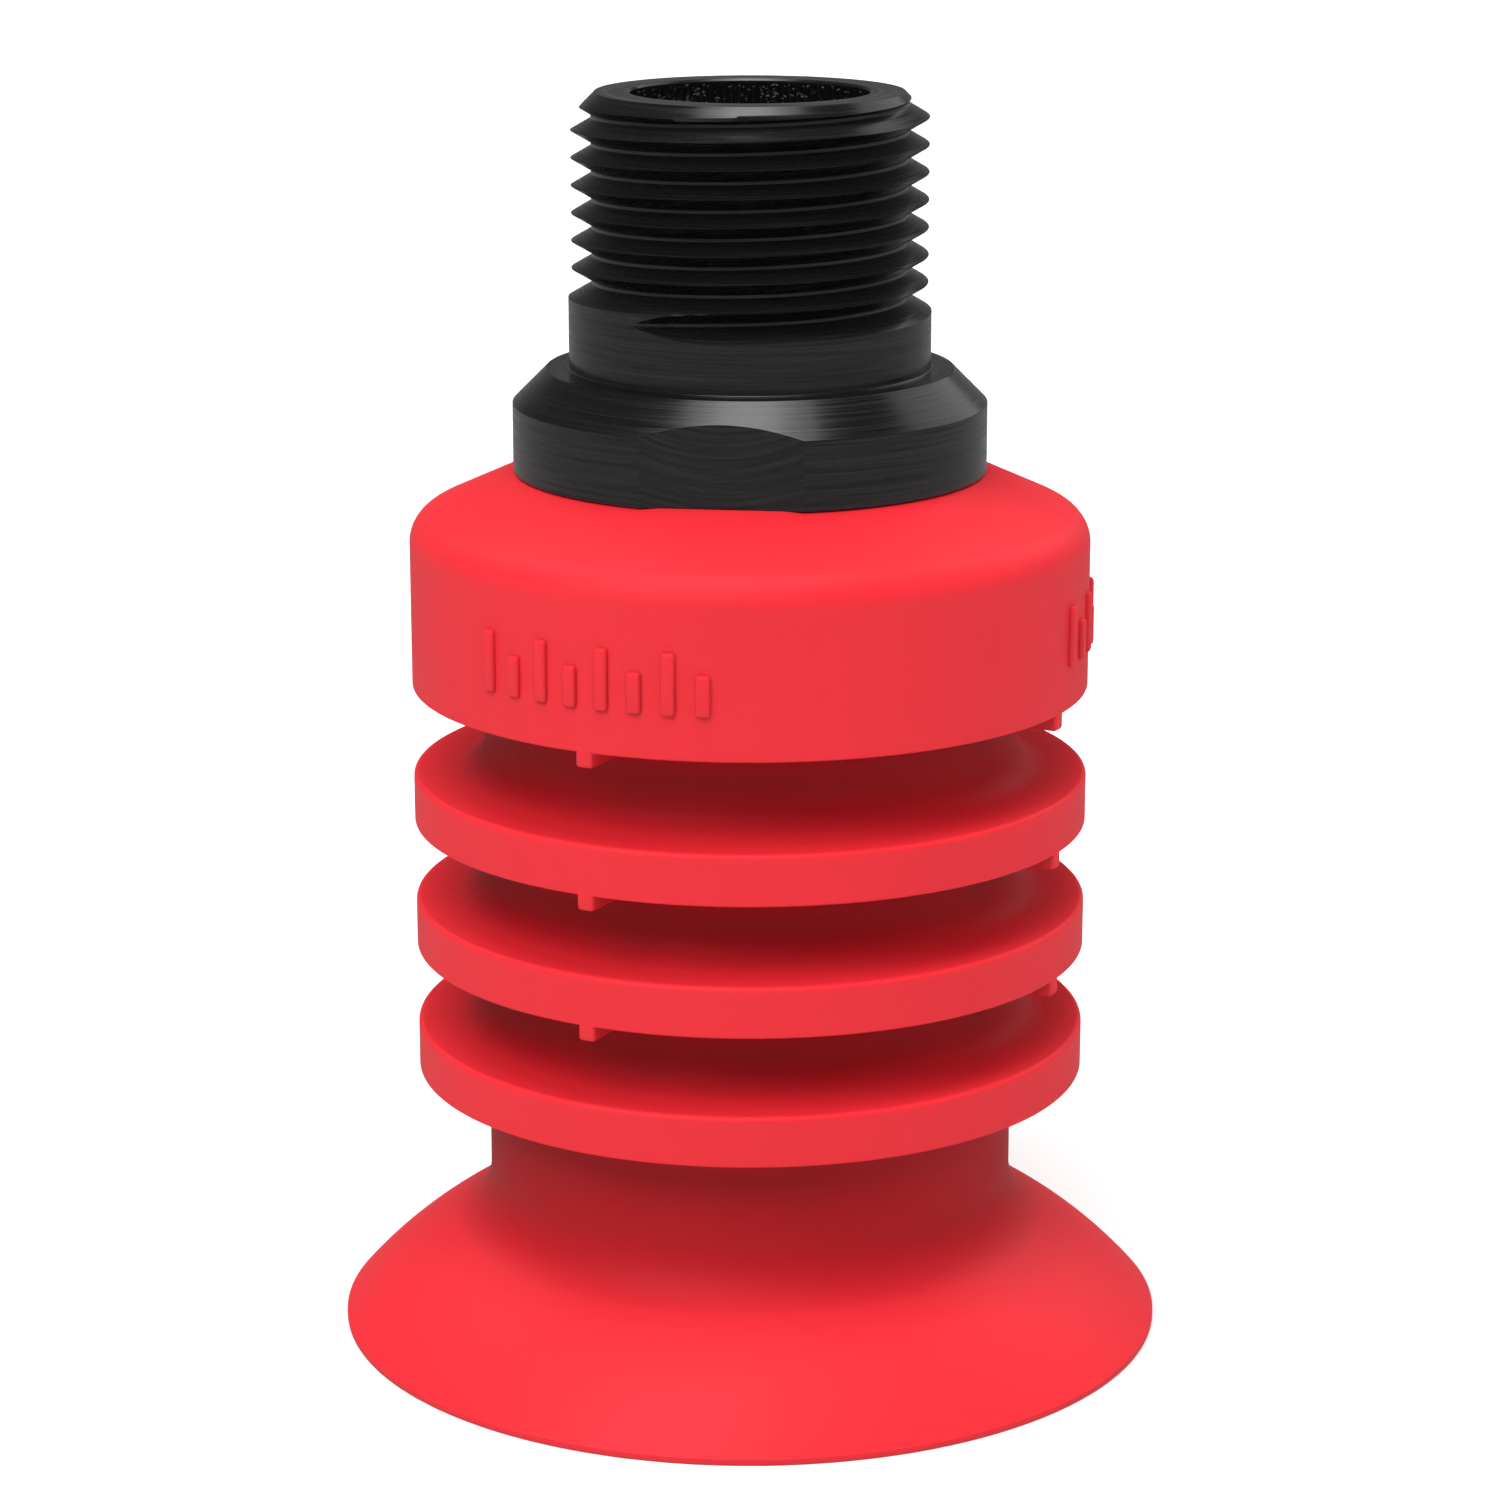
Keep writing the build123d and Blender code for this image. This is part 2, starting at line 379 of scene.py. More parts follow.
neck_upper = lathe("neck_upper", web_outline(NECK_SPLIT_Z, NECK_TOP_Z, foot=False))
neck_outer = neck_wall(HOLLOW_R, NECK_SPLIT_Z, NECK_FOOT_Z)
neck_inner = neck_wall(HOLLOW_IN_R, NECK_FOOT_Z, NECK_SPLIT_Z)
neck_lower = lathe("neck_lower", neck_outer + neck_inner)
skirt_outer = skirt_side(HOLLOW_R, SKIRT_STRAIGHT, OUTER_STRAIGHT_STEPS, (LIP_R, LIP_EDGE))
skirt_inner = skirt_side(HOLLOW_IN_R, SKIRT_STRAIGHT / 2, INNER_STRAIGHT_STEPS, (LIP_R - LIP_LAND, 0))
lip_edge = arc((LIP_R - LIP_EDGE_R, LIP_EDGE_R), LIP_EDGE_R, 0, -90, LIP_EDGE_STEPS)
skirt = lathe("lip_skirt_shell", skirt_outer + lip_edge + skirt_inner[::-1])

# ---- silicone moulding: nubs and raised marks ---------------------------------------------

NUB_AZIMUTHS = (-27.5, 62.5, 152.5, 242.5)
NUB_IN_R = 17.2
NUB_PROUD = 0.006  # how far a nub stands out of the rim above it
NUB_W = 1.05
NUB_LAP = 0.5  # how far a nub reaches up into its rim
BLOCK_COLUMNS = 4


def nub_group(name, rim_z, tip_z):
    """The four nubs that hang from one rim."""
    bm = bmesh.new()
    for azimuth in NUB_AZIMUTHS:
        angle = from_front(azimuth)
        out = Vector((math.cos(angle), math.sin(angle), 0))
        across = Vector((-out.y, out.x, 0))
        sections = []
        for t in levels(-NUB_W / 2, NUB_W / 2, BLOCK_COLUMNS):
            reach = math.sqrt((RIM_R + NUB_PROUD) ** 2 - t * t)
            radii = (NUB_IN_R, (NUB_IN_R + reach) / 2, reach)
            sections.append([out * r + across * t for r in radii])
        layers = []
        for z in (rim_z + NUB_LAP, tip_z):
            rise = Vector((0, 0, z))
            layers.append([[bm.verts.new(p + rise) for p in section] for section in sections])
        close_block(bm, layers)
    return make_object(name, bm)


nubs = {}
for name in ("nubs_collar", "nubs_fold_1", "nubs_fold_2"):
    low, high = cad_box(name)
    nubs[name] = nub_group(f"{name}_blocks", high.z, low.z)

MARK_Z = (42.5, 46.1)
MARK_SHORT = 1.2  # every second bar is this much shorter
MARK_BARS = 8
MARK_STEP = 5.6  # degrees from one bar to the next
MARK_WIDTH = 2.4  # degrees
MARK_SINK = 0.2  # how far a bar reaches into the collar
MARK_PROUD = 0.29
MARK_STARTS = {"raised_bars_front": -47.8, "raised_bars_side": 66.0}


def bar_row(name, start_azimuth):
    """A row of raised bars on the collar, long and short in turn."""
    bm = bmesh.new()
    radii = (RIM_R - MARK_SINK, RIM_R + MARK_PROUD)
    for count in range(MARK_BARS):
        top = MARK_Z[1] - MARK_SHORT * (count % 2)
        first = start_azimuth + count * MARK_STEP
        layers = []
        for z in (top, MARK_Z[0]):
            grid = []
            for azimuth in levels(first, first + MARK_WIDTH, BLOCK_COLUMNS):
                points = turned([(r, z) for r in radii], from_front(azimuth))
                grid.append([bm.verts.new(p) for p in points])
            layers.append(grid)
        close_block(bm, layers)
    return make_object(name, bm)


bars = {name: bar_row(f"{name}_row", start) for name, start in MARK_STARTS.items()}

# ---- fitting: flange, wrench flats, shank, thread and bore ----------------------------------

FLAT_R = 13.2
FLAT_AZIMUTHS = (-7.0, 173.0)
FLAT_CORNER = math.degrees(math.acos(FLAT_R / FLANGE_R))  # azimuth from a flat's middle to its end
CORNER_GAP = 0.15  # degrees between a flat's end and the columns on either side of it
CROWDED = 0.4  # a column nearer to those than this share of a step is left out
FLANGE_CHAMFER = 2.0
FLANGE_CHAMFER_R = FLANGE_R - FLANGE_CHAMFER
FLANGE_EDGE = 0.08
FLANGE_ARC_STEPS = 3
FLANGE_EASE = 0.04
SHANK_FILLET = 0.12
BARB_LEAD = 1.5
BARB_EDGE = 0.15
BARB_FILLET = 0.1
MOUTH_EDGE = 0.12
MOUTH_DEPTH = 2.0  # length of the bore's upper stretch
PITCH = 1.6
THREAD_END_Z = 62.64  # height of the groove where the tool left it
THREAD_END_ANGLE = -98.5  # and its direction from +X, in degrees
ROOT_R = 9.27
ROOT_HALF = 0.111  # half the width of the flat at the bottom of the groove
FLANK = (CREST_R - ROOT_R) / (PITCH / 2 - ROOT_HALF)  # rise of a flank for each millimetre along the axis
SHANK_TOP_Z = 63.3
MOUTH_R = 9.03
THREAD_FOOT_Z = 61.2  # height below which the shank is plain
LEAD_OUT_ANGLE = 32.0  # degrees round which the groove leaves the shank
SHANK_OFF = ROOT_HALF + (SHANK_R - ROOT_R) / FLANK  # where a flank meets the plain shank
TURNS = 9  # turns of the groove that are looked at above its end

# rows of points on a flank, by their distance from the middle of the groove
ROOT_ROWS = (0.09, 0.132)  # on either side of the corner between flat and flank
FLANK_ROWS = (0.3, 0.5)
CREST_GAP = 0.03  # distance from the crest to the rows beside it
CREST_ROWS = (PITCH / 2 - CREST_GAP, PITCH / 2, PITCH / 2 + CREST_GAP)
TURN_GAP = 0.04  # distance from the last row of a turn to the first of the next
CLOSED_GAP = 0.01  # least distance between rows where the lead-out closes
ABOVE_ROWS = (*ROOT_ROWS, *FLANK_ROWS, PITCH - SHANK_OFF - TURN_GAP)
BELOW_ROWS = (*ROOT_ROWS, *FLANK_ROWS, *CREST_ROWS, SHANK_OFF)
ROWS_IN_PITCH = len(BELOW_ROWS) + 1 + len(ABOVE_ROWS)


def column_azimuths():
    """Evenly spaced azimuths with close-set pairs at the corners of the wrench flats."""
    corners = [flat + side * FLAT_CORNER for flat in FLAT_AZIMUTHS for side in (-1, 1)]
    pairs = [(corner + shift) % 360 for corner in corners for shift in (-CORNER_GAP, CORNER_GAP)]
    step = 360 / COLUMNS
    even = [step * k for k in range(COLUMNS)]
    spaced = [a for a in even if all(abs(a - p) > CROWDED * step for p in pairs)]
    return sorted(spaced + pairs)


def after_thread_end(azimuth):
    """Degrees from the groove's end round to this azimuth."""
    return (azimuth - 90 - THREAD_END_ANGLE) % 360


def flange_edge(azimuth):
    """Radius of the flange's side at this azimuth: a circle with two flats."""
    reach = FLANGE_R
    for flat in FLAT_AZIMUTHS:
        off = abs((azimuth - flat + 180) % 360 - 180)
        if off < FLAT_CORNER:
            reach = FLAT_R / math.cos(math.radians(off))
    return reach


def groove_root(swing):
    """Radius of the groove's bottom, swing degrees after its end. Before it, the bottom runs out straight."""
    return ROOT_R if swing >= 0 else ROOT_R / math.cos(math.radians(swing))


def groove_radius(z, turn):
    """Radius of the threaded stretch at this height, turn degrees after the groove's end."""
    step = min(max(z - SHANK_TOP_Z, 0), SHANK_R - CREST_R)
    reach = min(SHANK_R - step, MOUTH_R + TOP_Z - z)
    for wind in range(-1, TURNS):
        swing = turn + 360 * wind
        if swing < -LEAD_OUT_ANGLE:
            continue
        off = abs(z - THREAD_END_Z - PITCH * swing / 360)
        reach = min(reach, groove_root(swing) + FLANK * max(0, off - ROOT_HALF))
    return reach


def row_offsets(rows, swing):
    """Distances of one flank's rows from the groove's middle. In the lead-out they close up with its edge."""
    if not -LEAD_OUT_ANGLE < swing < 0:
        return list(rows)
    fixed, last = ROOT_ROWS[-1], rows[-1]
    edge = ROOT_HALF + (SHANK_R - groove_root(swing)) / FLANK
    closing = (min(max(edge, fixed + CLOSED_GAP), last) - fixed) / (last - fixed)
    return [row if row < fixed else fixed + (row - fixed) * closing for row in rows]


def thread_outline(azimuth):
    """The threaded stretch at one azimuth, as (r, z) points on rows that follow the helix."""
    turn = after_thread_end(azimuth)
    points = []
    for wind in range(-2, TURNS):
        swing = turn + 360 * wind
        below = [-off for off in reversed(row_offsets(BELOW_ROWS, swing))]
        for off in below + [0] + row_offsets(ABOVE_ROWS, swing):
            z = min(max(THREAD_END_Z + PITCH * swing / 360 + off, THREAD_FOOT_Z), TOP_Z)
            points.append((groove_radius(z, turn), z))
    return points


def flange_outline(azimuth):
    """The fitting's outside from the spigot up to the shank, at one azimuth."""
    edge = flange_edge(azimuth)
    chamfer_z = FLANGE_TOP_Z - (edge - FLANGE_CHAMFER_R)
    return rounded(
        [
            (SPIGOT_R, FLANGE_Z, 0),
            (edge, FLANGE_Z, FLANGE_EDGE),
            (edge, chamfer_z, FLANGE_EDGE),
            (FLANGE_CHAMFER_R, FLANGE_TOP_Z, FLANGE_EDGE),
            (SHANK_R, FLANGE_TOP_Z, SHANK_FILLET),
            (SHANK_R, THREAD_FOOT_Z, 0),
        ],
        steps=FLANGE_ARC_STEPS,
        ease=FLANGE_EASE,
    )


def inside_outline():
    """The fitting from the mouth down the bore, round the barb and up to the spigot's top."""
    mouth = [(BORE_R + MOUTH_EDGE, TOP_Z), (BORE_R, TOP_Z - MOUTH_EDGE), (BORE_R, TOP_Z - MOUTH_DEPTH)]
    below_flange = rounded(
        [
            (SPIGOT_R, FLANGE_Z, 0),
            (BORE_R, FLANGE_Z, 0),
            (BORE_R, BARB_Z, BARB_EDGE),
            (BARB_R - BARB_LEAD, BARB_Z, BARB_EDGE),
            (BARB_R, BARB_Z + BARB_LEAD, BARB_EDGE),
            (BARB_R, BARB_TOP_Z, BARB_FILLET),
            (SPIGOT_R, BARB_TOP_Z, 0),
        ]
    )
    return mouth + below_flange[1:]


def strip(bm, here, there):
    """Faces between two columns of points. Points that there repeats make triangles."""
    for a, b, c, d in zip(here, here[1:], there[1:], there):
        bm.faces.new((a, b, c) if c is d else (a, b, c, d))


def fitting_mesh():
    """One closed mesh. The thread's rows climb, so the last column meets the first one a pitch higher."""
    bm = bmesh.new()
    azimuths = sorted(column_azimuths(), key=after_thread_end)
    inside = inside_outline()
    fixed, climbing = [], []
    for azimuth in azimuths:
        angle = from_front(azimuth)
        fixed.append([bm.verts.new(p) for p in turned(inside + flange_outline(azimuth), angle)])
        climbing.append([bm.verts.new(p) for p in turned(thread_outline(azimuth), angle)])
    for k in range(len(azimuths)):
        n = (k + 1) % len(azimuths)
        there = climbing[n]
        if n == 0:
            there = there[ROWS_IN_PITCH:] + [there[-1]] * ROWS_IN_PITCH
        strip(bm, fixed[k], fixed[n])
        strip(bm, climbing[k], there)
        bm.faces.new((climbing[k][-1], fixed[k][0], fixed[n][0], climbing[n][-1]))
    return make_object("fitting_body", bm)


fitting = fitting_mesh()

# ---- filter: woven wire across the bore, and its ring ---------------------------------------

WIRE_PITCH = 0.42
WIRE_R = 0.08
WIRE_SIDES = 6
WIRE_STEPS = 4  # sections for each wire crossed
WIRE_CLEAR = 0.05  # gap between the wires' ends and the bore
WEAVE_R = BORE_R - WIRE_CLEAR
WEAVE_Z = (filter_low.z + filter_high.z) / 2
RING_BAND = 0.55
RING_CLEAR = 0.005
RING_IN_R = BORE_R - RING_BAND
RING_OUT_R = BORE_R - RING_CLEAR
RING_EDGES = (0.1, 0.05, 0.05, 0.15)  # radii, from the lower inner edge round to the upper inner one


def add_wire(bm, number, layer):
    """One wavy wire across the bore, along X in layer 0 and along Y in layer 1."""
    offset = (number + 0.5) * WIRE_PITCH
    if abs(offset) > WEAVE_R - WIRE_R:
        return
    half_length = math.sqrt(WEAVE_R * WEAVE_R - offset * offset)
    steps = max(2, int(2 * half_length / WIRE_PITCH * WIRE_STEPS))
    rings = []
    for s in levels(-half_length, half_length, steps):
        wave = math.cos(math.pi * (s / WIRE_PITCH - 0.5 + number + layer))
        centre = Vector((s, offset, WEAVE_Z + WIRE_R * wave))
        ring = []
        for k in range(WIRE_SIDES):
            a = 2 * math.pi * k / WIRE_SIDES
            p = centre + Vector((0, math.cos(a), math.sin(a))) * WIRE_R
            ring.append(bm.verts.new(p if layer == 0 else (p.y, p.x, p.z)))
        rings.append(ring)
    for low, high in zip(rings, rings[1:]):
        for k in range(WIRE_SIDES):
            n = (k + 1) % WIRE_SIDES
            bm.faces.new((low[k], low[n], high[n], high[k]))
    bm.faces.new(rings[0])
    bm.faces.new(rings[-1][::-1])


def wire_mesh():
    """Two layers of crossing wires, each going over and under the next."""
    bm = bmesh.new()
    half = int(WEAVE_R / WIRE_PITCH)
    for layer in (0, 1):
        for number in range(-half, half + 1):
            add_wire(bm, number, layer)
    return make_object("mesh_filter_weave", bm)


weave = wire_mesh()
ring_corners = [
    (RING_IN_R, ring_low.z),
    (RING_OUT_R, ring_low.z),
    (RING_OUT_R, ring_high.z),
    (RING_IN_R, ring_high.z),
]
filter_ring = lathe("filter_ring_band", rounded([(*c, edge) for c, edge in zip(ring_corners, RING_EDGES)]))

# ---- materials --------------------------------------------------------------------------------


class Nodes:
    """A material being built: short calls to add nodes and join them."""

    def __init__(self, name):
        self.material = bpy.data.materials.new(name)
        self.material.use_nodes = True
        self.tree = self.material.node_tree
        self.shader = next(n for n in self.tree.nodes if n.type == "BSDF_PRINCIPLED")

    def add(self, kind, inputs=(), **settings):
        """A node with its settings, and with values or links for its inputs."""
        node = self.tree.nodes.new(kind)
        for key, value in settings.items():
            setattr(node, key, value)
        for key, value in dict(inputs).items():
            if isinstance(value, bpy.types.NodeSocket):
                self.tree.links.new(value, node.inputs[key])
            else:
                node.inputs[key].default_value = value
        return node

    def place(self):
        """The point being shaded, in the object's own metres."""
        return self.add("ShaderNodeTexCoord").outputs["Object"]

    def split(self, vector):
        return self.add("ShaderNodeSeparateXYZ", {"Vector": vector}).outputs

    def math(self, operation, *values):
        return self.add("ShaderNodeMath", dict(enumerate(values)), operation=operation).outputs[0]

    def times(self, a, b):
        return self.math("MULTIPLY", a, b)

    def distance(self, x, y):
        """Length of the vector (x, y)."""
        return self.math("SQRT", self.math("ADD", self.times(x, x), self.times(y, y)))

    def noise(self, vector, scale, detail=3.0, roughness=0.5):
        inputs = {"Vector": vector, "Scale": scale, "Detail": detail, "Roughness": roughness}
        return self.add("ShaderNodeTexNoise", inputs).outputs["Fac"]

    def streaks(self, **axes):
        """Noise drawn out along the axes, each of which comes already scaled."""
        vector = self.add("ShaderNodeCombineXYZ", axes).outputs[0]
        return self.noise(vector, 1.0, 3.0, 0.65)

    def between(self, factor, low, high, start=0.0, end=1.0):
        """The value low to high as factor goes from start to end."""
        inputs = {"Value": factor, "From Min": start, "From Max": end, "To Min": low, "To Max": high}
        return self.add("ShaderNodeMapRange", inputs).outputs["Result"]

    def blend_colour(self, factor, low, high):
        node = self.add("ShaderNodeMix", {0: factor}, data_type="RGBA")
        low_socket, high_socket = (s for s in node.inputs if s.type == "RGBA")
        low_socket.default_value = (*low, 1)
        high_socket.default_value = (*high, 1)
        return next(s for s in node.outputs if s.type == "RGBA")

    def set(self, **values):
        """Values or links for the shader's inputs."""
        for key, value in values.items():
            socket = self.shader.inputs[key.replace("_", " ")]
            if isinstance(value, bpy.types.NodeSocket):
                self.tree.links.new(value, socket)
            else:
                socket.default_value = value

    def bump(self, height, distance, strength):
        node = self.add("ShaderNodeBump", {"Height": height, "Distance": distance, "Strength": strength})
        self.tree.links.new(node.outputs["Normal"], self.shader.inputs["Normal"])


# Noise scales are in cells for each metre, and bump distances in metres.
# A pair of values goes from low noise to high.
NOISE_MIDDLE = (0.3, 0.7)  # most of a noise lies in this range
CLOUDS = 90.0
GRAIN = 9000.0
WAVES = 700.0
OPEN_RED = (0.5, 0.015, 0.0225)
# painted shade: the dark red that stands in for the shade deep in the grooves and under the rims
PAINTED_SHADE_RED = (0.25, 0.0055, 0.0085)
SHADE_FREE_R = 18.1  # radius outside which the red has no painted shade
FULL_SHADE_R = 16.0  # and radius at which the painted shade of the grooves is full
CLOUD_DEPTH = 0.05
SILICONE_ROUGHNESS = (0.44, 0.56)
SILICONE_GLOSS = (0.2, 0.08)  # from the open red to the full painted shade, which also has less gloss
SILICONE_BUMP = 0.00002


def silicone_material(name, painted_shade):
    """Matte red moulded silicone with fine grain and faint clouding.

    Painted shade: the second argument is how far its red darkens towards a shaded red near the axis, from 0
    to 1, standing in for the shade deep in the grooves and under the rims.
    """
    m = Nodes(name)
    place = m.place()
    grain = m.noise(place, GRAIN, 2.0)
    waves = m.noise(place, WAVES, 2.0)
    clouds_and_shade = m.between(m.noise(place, CLOUDS, 2.0), 0.0, CLOUD_DEPTH, *NOISE_MIDDLE)
    # painted shade: the red darkens towards the axis, where the grooves and the neck lie in shade
    if painted_shade:
        x, y = m.split(place)[:2]
        shade_inward = m.between(m.distance(x, y), painted_shade, 0.0, FULL_SHADE_R * MM, SHADE_FREE_R * MM)
        clouds_and_shade = m.math("ADD", clouds_and_shade, shade_inward)
    m.set(
        Base_Color=m.blend_colour(clouds_and_shade, OPEN_RED, PAINTED_SHADE_RED),
        Roughness=m.between(grain, *SILICONE_ROUGHNESS),
        Specular_IOR_Level=m.between(clouds_and_shade, *SILICONE_GLOSS),
    )
    m.bump(m.math("ADD", m.times(grain, 0.25), m.times(waves, 0.75)), SILICONE_BUMP, 0.6)
    return m.material


LINES_ROUND = 90.0
LINES_ACROSS = 5500.0
LINES_SLANT = 0.8  # share of the radius that also tells one turned line from the next
ARCS_ALONG = 120.0
ARCS_ACROSS = 4500.0
CUTTER_RISE = 8.0  # height above the flange of the middle of the milled arcs, in millimetres
FLAT_MARGIN = 0.01
ANODISED_DARK = (0.0012, 0.0012, 0.0013)
ANODISED_LIGHT = (0.006, 0.006, 0.0063)
ANODISED_ROUGHNESS = (0.14, 0.34)
ANODISED_GLOSS = (0.45, 1.0)
ANODISED_BUMP = 0.00001


def anodised_material():
    """Black anodised turned metal: fine lines round the axis, and milled arcs on the wrench flats."""
    m = Nodes("anodised_black")
    x, y, z = m.split(m.place())
    layer = m.math("SUBTRACT", z, m.times(m.distance(x, y), LINES_SLANT))
    lines = m.streaks(X=m.times(x, LINES_ROUND), Y=m.times(y, LINES_ROUND), Z=m.times(layer, LINES_ACROSS))

    facing = from_front(FLAT_AZIMUTHS[0])
    flat_x, flat_y = math.cos(facing), math.sin(facing)
    out = m.math("ADD", m.times(x, flat_x), m.times(y, flat_y))
    across = m.math("SUBTRACT", m.times(y, flat_x), m.times(x, flat_y))
    on_flat = m.math("GREATER_THAN", m.math("ABSOLUTE", out), (FLAT_R - FLAT_MARGIN) * MM)
    rise = m.math("SUBTRACT", z, (FLANGE_TOP_Z + CUTTER_RISE) * MM)
    arcs = m.streaks(X=m.times(across, ARCS_ALONG), Y=m.times(m.distance(across, rise), ARCS_ACROSS))

    mix = m.add("ShaderNodeMix", {0: on_flat, "A": lines, "B": arcs}, data_type="FLOAT")
    machined = mix.outputs[0]
    m.set(
        Base_Color=m.blend_colour(machined, ANODISED_DARK, ANODISED_LIGHT),
        Roughness=m.between(machined, *ANODISED_ROUGHNESS, *NOISE_MIDDLE),
        Specular_IOR_Level=m.between(machined, *ANODISED_GLOSS, *NOISE_MIDDLE),
    )
    m.bump(machined, ANODISED_BUMP, 0.5)
    return m.material


GLINT_SPOTS = 2200.0
WIRE_BLACK = (0.0006, 0.0006, 0.0006)
WIRE_GLINT = (0.04, 0.04, 0.041)
GLINT_FROM = (0.64, 0.7)  # painted glints sit where the noise passes this range
WIRE_ROUGHNESS = (0.6, 0.45)
WIRE_GLOSS = 0.03
STAIN = 900.0
RING_DARK = (0.03, 0.03, 0.031)
RING_LIGHT = (0.054, 0.054, 0.0558)
RING_ROUGHNESS = (0.24, 0.4)
SCRATCHES = 6000.0
SCRATCH_BUMP = 0.000004


def wire_material():
    """Blackened wire with a few bright painted glints."""
    m = Nodes("filter_wire_steel")
    place = m.place()
    # painted highlights: random bright spots stand in for glints on the wires
    glints = m.between(m.noise(place, GLINT_SPOTS, 1.0), 0.0, 1.0, *GLINT_FROM)
    m.set(
        Base_Color=m.blend_colour(glints, WIRE_BLACK, WIRE_GLINT),
        Roughness=m.between(glints, *WIRE_ROUGHNESS),
        Specular_IOR_Level=WIRE_GLOSS,
    )
    m.bump(m.noise(place, SCRATCHES, 2.0), SCRATCH_BUMP, 0.4)
    return m.material


def ring_material():
    """Dark steel with a fine uneven stain."""
    m = Nodes("filter_ring_steel")
    place = m.place()
    stain = m.noise(place, STAIN)
    m.set(
        Base_Color=m.blend_colour(stain, RING_DARK, RING_LIGHT),
        Roughness=m.between(stain, *RING_ROUGHNESS),
        Metallic=1.0,
    )
    m.bump(m.noise(place, SCRATCHES, 2.0), SCRATCH_BUMP, 0.4)
    return m.material


silicone = silicone_material("silicone_red", painted_shade=0.0)
# these two carry painted shade near the axis, for the folds, webs, nubs, neck and skirt
groove_shaded = silicone_material("silicone_red_groove_shaded", painted_shade=1.0)
neck_shaded_red = silicone_material("silicone_red_neck_shaded", painted_shade=0.85)
anodised = anodised_material()
wire_steel = wire_material()
ring_steel = ring_material()

# ---- which body each piece rides on, and what it stands for ------------------------------------


def dress(obj, material, slot_name, *nodes):
    """Gives a piece its material, and hides the CAD nodes that it stands for. Its slot name is not used."""
    obj.data.materials.append(material)
    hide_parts(*nodes)


dress(collar, silicone, "silicone", "collar")
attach(collar, "head")
fold_bodies = {"fold_1": "upper_fold", "fold_2": "middle_fold", "fold_3": "lower_fold"}
for name, body in fold_bodies.items():
    dress(folds[name], groove_shaded, "silicone", name)
    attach(folds[name], body)

web_joints = {
    "web_1": ("head", "bellows_upper"),
    "web_2": ("upper_fold", "bellows_middle"),
    "web_3": ("middle_fold", "bellows_lower"),
}
for name, (body, sliding) in web_joints.items():
    low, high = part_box(name)
    dress(webs[name], groove_shaded, "silicone", name)
    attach(webs[name], body)
    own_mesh(webs[name])

dress(neck_upper, neck_shaded_red, "silicone", "neck_web_upper", "neck_ring")
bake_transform(neck_upper)
dress(neck_lower, neck_shaded_red, "silicone", "neck_web_lower")
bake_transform(neck_lower)
dress(skirt, neck_shaded_red, "silicone", "lip_skirt")
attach(skirt, "lip")

nub_bodies = {"nubs_collar": "head", "nubs_fold_1": "upper_fold", "nubs_fold_2": "middle_fold"}
for name, body in nub_bodies.items():
    dress(nubs[name], groove_shaded, "silicone", name)
    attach(nubs[name], body)
for name, row in bars.items():
    dress(row, silicone, "silicone", name)
    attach(row, "head")

dress(fitting, anodised, "anodised_aluminium", "fitting")
dress(weave, wire_steel, "steel_mesh", "mesh_filter")
dress(filter_ring, ring_steel, "steel_ring", "filter_ring")
for obj in (fitting, weave, filter_ring):
    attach(obj, "head")

# ---- floor, light and camera -------------------------------------------------------------------

FLOOR_HALF = 3000  # half the floor's width, in millimetres
FLOOR_DROP = 0.02  # gap under the lip, in millimetres
FLOOR_PAINT = (0.7, 0.7, 0.7, 1)
LAMP_DISTANCE = 4.0

# Each lamp has its width and height in metres, its azimuth from the front and its elevation in degrees,
# and the brightness of a white sheet that faces it.
REFLECTED_LAMPS = {
    "strip_lamp": (2.8, 2.2, 0, 84.5, 0.26),
    "strip_lamp_core": (1.4, 2.2, -5, 84.5, 0.13),
    "back_right_panel": (2.6, 2.6, 134, 31, 0.1),
}
SOFTBOXES = {
    "top_softbox": (2.2, 2.2, 0, 84.5, 0.45),
    "front_softbox": (2.2, 2.2, 0, 45, 0.59),
    "front_left_softbox": (2.2, 2.2, -45, 45, 0.9),
    "front_left_fill": (2.2, 2.2, -50, 22, 0.13),
    "right_fill": (2.2, 2.2, 80, 25, 0.54),
    "back_left_softbox": (2.2, 2.2, -135, 45, 0.41),
    "back_right_softbox": (2.2, 2.2, 135, 45, 0.27),
}

# Reflections see a white room that gets darker with height.
ROOM_SHEEN = {"From Min": -0.35, "From Max": 0.35, "To Min": 0.4, "To Max": 0.07}


def floor():
    """A pale floor that the reflections don't see."""
    bm = bmesh.new()
    bmesh.ops.create_grid(bm, x_segments=1, y_segments=1, size=FLOOR_HALF)
    bmesh.ops.translate(bm, verts=bm.verts, vec=(0, 0, -FLOOR_DROP))
    obj = make_object("studio_floor", bm)
    m = Nodes("studio_floor_paint")
    m.set(Base_Color=FLOOR_PAINT, Roughness=0.9)
    obj.data.materials.append(m.material)
    obj.visible_glossy = False


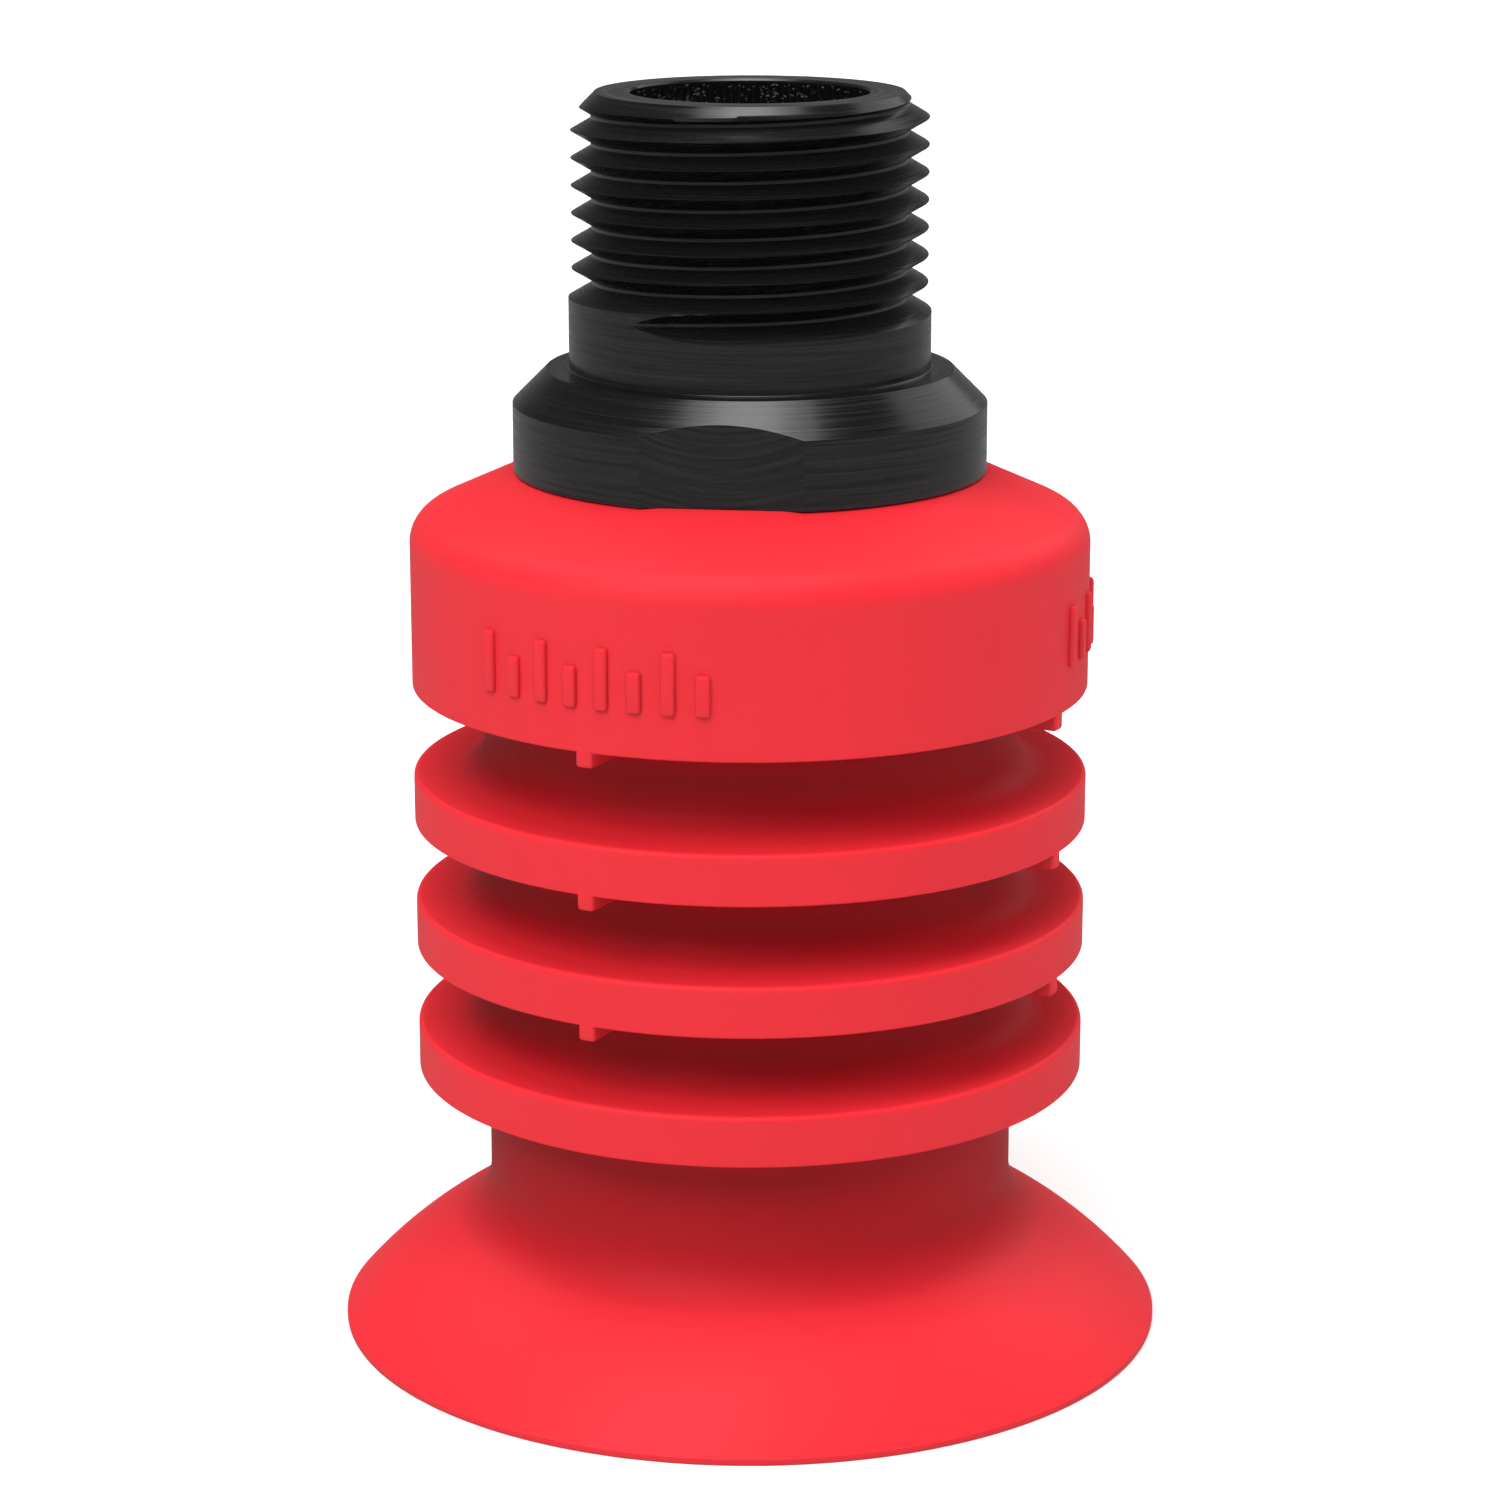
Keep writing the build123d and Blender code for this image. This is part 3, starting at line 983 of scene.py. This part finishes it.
def area_light(name, width, height, azimuth, elevation, brightness):
    """A rectangular lamp that looks at the cup."""
    data = bpy.data.lights.new(name, "AREA")
    data.shape = "RECTANGLE"
    data.size = width
    data.size_y = height
    data.energy = brightness * (math.pi * LAMP_DISTANCE) ** 2
    obj = bpy.data.objects.new(name, data)
    a, e = from_front(azimuth), math.radians(elevation)
    aim = Vector((math.cos(a) * math.cos(e), math.sin(a) * math.cos(e), math.sin(e)))
    obj.location = Vector((0, 0, TOP_Z / 2 * MM)) + aim * LAMP_DISTANCE
    obj.rotation_euler = aim.to_track_quat("Z", "Y").to_euler()
    bpy.context.scene.collection.objects.link(obj)
    return obj


def room():
    """A world that is plain white behind the cup, and reflects as a room that gets darker with height."""
    world = bpy.data.worlds.new("studio_room")
    world.use_nodes = True
    tree = world.node_tree
    background = tree.nodes["Background"]
    background.inputs["Color"].default_value = (1, 1, 1, 1)
    direction = tree.nodes.new("ShaderNodeTexCoord").outputs["Generated"]
    split = tree.nodes.new("ShaderNodeSeparateXYZ")
    sheen = tree.nodes.new("ShaderNodeMapRange")
    for name, value in ROOM_SHEEN.items():
        sheen.inputs[name].default_value = value
    strength = tree.nodes.new("ShaderNodeMapRange")
    seen = tree.nodes.new("ShaderNodeLightPath").outputs["Is Camera Ray"]
    tree.links.new(direction, split.inputs[0])
    tree.links.new(split.outputs["Z"], sheen.inputs["Value"])
    tree.links.new(seen, strength.inputs["Value"])
    tree.links.new(sheen.outputs["Result"], strength.inputs["To Min"])
    tree.links.new(strength.outputs["Result"], background.inputs["Strength"])
    bpy.context.scene.world = world
    world.cycles_visibility.diffuse = False


def studio():
    """The room, lamps that shine on the metal, and softboxes that are kept out of the reflections."""
    room()
    bpy.context.scene.view_settings.view_transform = "Standard"
    for name, lamp in REFLECTED_LAMPS.items():
        area_light(name, *lamp)
    for name, lamp in SOFTBOXES.items():
        area_light(name, *lamp).visible_glossy = False


CAMERA_PLACE = (0, -0.248, 0.10018)
CAMERA_TILT = 14.633  # degrees below the horizontal
CAMERA_FIELD = 20  # degrees


def camera():
    """Looks down at the axis from the front."""
    data = bpy.data.cameras.new("camera")
    data.sensor_width = 36
    data.angle = math.radians(CAMERA_FIELD)
    data.clip_start = 0.01
    obj = bpy.data.objects.new("camera", data)
    obj.location = CAMERA_PLACE
    obj.rotation_euler = (math.radians(90 - CAMERA_TILT), 0, 0)
    bpy.context.scene.collection.objects.link(obj)
    bpy.context.scene.camera = obj


floor()
studio()
camera()
